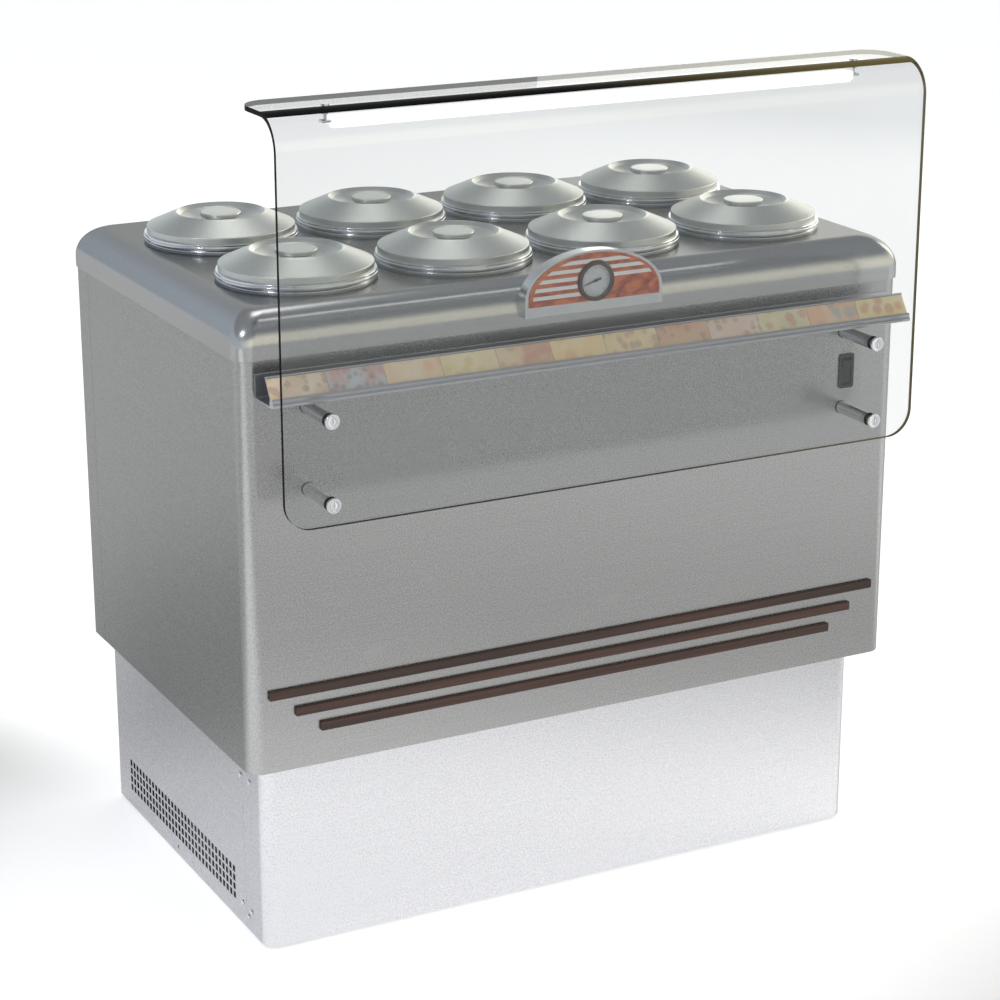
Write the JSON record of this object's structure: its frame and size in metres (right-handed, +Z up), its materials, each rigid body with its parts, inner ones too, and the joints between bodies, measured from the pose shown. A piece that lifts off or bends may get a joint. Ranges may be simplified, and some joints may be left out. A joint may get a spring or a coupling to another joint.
{
  "type": "ice cream well counter",
  "caption": "Low counter with round lidded wells in a steel worktop, a bent glass guard with lamp, a label rail, a thermometer badge and a set-back vented base.",
  "frame": {"origin": "on the floor, at the middle of the machine's length and depth", "axes": "+X to the right seen from the front, +Y towards the back, +Z up"},
  "size_m": [1.091, 0.763, 1.255],
  "materials": {
    "panel_steel": "fine satin grain",
    "cover_steel": "satin, bright along the rolled edge",
    "zinc_steel": "zinc plated",
    "foam": "rigid foam",
    "liner_steel": "dull inside",
    "evaporator": "mill finish",
    "ring_steel": "polished",
    "tub_steel": "spun satin",
    "lid_steel": "bead blasted",
    "guard_glass": "clear, polished edge",
    "bright_steel": "polished",
    "black_rubber": "matt",
    "lamp_aluminium": "satin anodised",
    "lamp_opal": "opal",
    "rail_aluminium": "satin anodised",
    "card": "printed, laminated",
    "badge_steel": "satin",
    "briar_wood": "lacquered briar",
    "bezel_brown": "gloss",
    "dial_white": "matt white",
    "needle_black": "matt",
    "lens": "clear",
    "strip_wood": "dark stain, satin lacquer",
    "switch_black": "moulded",
    "rocker_black": "moulded",
    "foot_plastic": "moulded",
    "machine_black": "gloss enamel",
    "fin_aluminium": "mill finish",
    "box_plastic": "moulded",
    "copper": "bare copper",
    "gland_plastic": "moulded"
  },
  "bodies": {
    "cabinet": {"outer_wrap": "panel_steel", "rear_panel": "panel_steel", "base_front_panel": "panel_steel", "base_left_panel": "panel_steel", "base_right_panel": "panel_steel", "base_rear_grille": "panel_steel", "cabinet_floor": "zinc_steel", "base_tray": "zinc_steel", "base_posts": "zinc_steel", "insulation_foam": "foam", "well_liners": "liner_steel", "evaporator_jackets": "evaporator", "worktop_cover": "cover_steel", "well_rings": "ring_steel", "guard_glass": "guard_glass", "standoff_barrels": "bright_steel", "standoff_caps": "bright_steel", "glass_washers": "black_rubber", "lamp_housing": "lamp_aluminium", "lamp_diffuser": "lamp_opal", "lamp_screws": "bright_steel", "label_rail": "rail_aluminium", "flavour_cards": "card", "badge_housing": "badge_steel", "badge_panel": "briar_wood", "badge_slats": "bright_steel", "thermometer_case": "bezel_brown", "thermometer_dial": "dial_white", "thermometer_lens": "lens", "trim_strips": "strip_wood", "switch_bezel": "switch_black", "levelling_feet": "foot_plastic", "base_screws": "bright_steel", "compressor": "machine_black", "compressor_mounts": "black_rubber", "condenser_coil": "fin_aluminium", "fan_shroud": "zinc_steel", "fan_motor": "machine_black", "control_box": "box_plastic", "pipework": "copper", "inlet_gland": "gland_plastic"},
    "tub_1": {"tub_1": "tub_steel"},
    "lid_1": {"lid_1": "lid_steel"},
    "tub_2": {"tub_2": "tub_steel"},
    "lid_2": {"lid_2": "lid_steel"},
    "tub_3": {"tub_3": "tub_steel"},
    "lid_3": {"lid_3": "lid_steel"},
    "tub_4": {"tub_4": "tub_steel"},
    "lid_4": {"lid_4": "lid_steel"},
    "tub_5": {"tub_5": "tub_steel"},
    "lid_5": {"lid_5": "lid_steel"},
    "tub_6": {"tub_6": "tub_steel"},
    "lid_6": {"lid_6": "lid_steel"},
    "tub_7": {"tub_7": "tub_steel"},
    "lid_7": {"lid_7": "lid_steel"},
    "tub_8": {"tub_8": "tub_steel"},
    "lid_8": {"lid_8": "lid_steel"},
    "needle": {"thermometer_needle": "needle_black"},
    "rocker": {"switch_rocker": "rocker_black"},
    "fan": {"fan_blades": "fin_aluminium"}
  },
  "joints": [
    {"name": "tub_lift_1", "type": "slide", "parent": "cabinet", "child": "tub_1", "axis": [0, 0, 1], "range_m": [0, 0.3]},
    {"name": "lid_lift_1", "type": "slide", "parent": "tub_1", "child": "lid_1", "axis": [0, 0, 1], "range_m": [0, 0.22]},
    {"name": "tub_lift_2", "type": "slide", "parent": "cabinet", "child": "tub_2", "axis": [0, 0, 1], "range_m": [0, 0.3]},
    {"name": "lid_lift_2", "type": "slide", "parent": "tub_2", "child": "lid_2", "axis": [0, 0, 1], "range_m": [0, 0.22]},
    {"name": "tub_lift_3", "type": "slide", "parent": "cabinet", "child": "tub_3", "axis": [0, 0, 1], "range_m": [0, 0.3]},
    {"name": "lid_lift_3", "type": "slide", "parent": "tub_3", "child": "lid_3", "axis": [0, 0, 1], "range_m": [0, 0.22]},
    {"name": "tub_lift_4", "type": "slide", "parent": "cabinet", "child": "tub_4", "axis": [0, 0, 1], "range_m": [0, 0.3]},
    {"name": "lid_lift_4", "type": "slide", "parent": "tub_4", "child": "lid_4", "axis": [0, 0, 1], "range_m": [0, 0.22]},
    {"name": "tub_lift_5", "type": "slide", "parent": "cabinet", "child": "tub_5", "axis": [0, 0, 1], "range_m": [0, 0.3]},
    {"name": "lid_lift_5", "type": "slide", "parent": "tub_5", "child": "lid_5", "axis": [0, 0, 1], "range_m": [0, 0.22]},
    {"name": "tub_lift_6", "type": "slide", "parent": "cabinet", "child": "tub_6", "axis": [0, 0, 1], "range_m": [0, 0.3]},
    {"name": "lid_lift_6", "type": "slide", "parent": "tub_6", "child": "lid_6", "axis": [0, 0, 1], "range_m": [0, 0.22]},
    {"name": "tub_lift_7", "type": "slide", "parent": "cabinet", "child": "tub_7", "axis": [0, 0, 1], "range_m": [0, 0.3]},
    {"name": "lid_lift_7", "type": "slide", "parent": "tub_7", "child": "lid_7", "axis": [0, 0, 1], "range_m": [0, 0.22]},
    {"name": "tub_lift_8", "type": "slide", "parent": "cabinet", "child": "tub_8", "axis": [0, 0, 1], "range_m": [0, 0.3]},
    {"name": "lid_lift_8", "type": "slide", "parent": "tub_8", "child": "lid_8", "axis": [0, 0, 1], "range_m": [0, 0.22]},
    {"name": "needle_swing", "type": "hinge", "parent": "cabinet", "child": "needle", "pos_m": [0, -0.3112, 0.967], "axis": [0, 1, 0], "range_deg": [-28, 242]},
    {"name": "rocker_tilt", "type": "hinge", "parent": "cabinet", "child": "rocker", "pos_m": [0.45, -0.284, 0.7735], "axis": [1, 0, 0], "range_deg": [-16, 0]},
    {"name": "fan_spin", "type": "hinge", "parent": "cabinet", "child": "fan", "pos_m": [0.23, 0.237, 0.141], "axis": [0, 1, 0], "continuous": true}
  ]
}
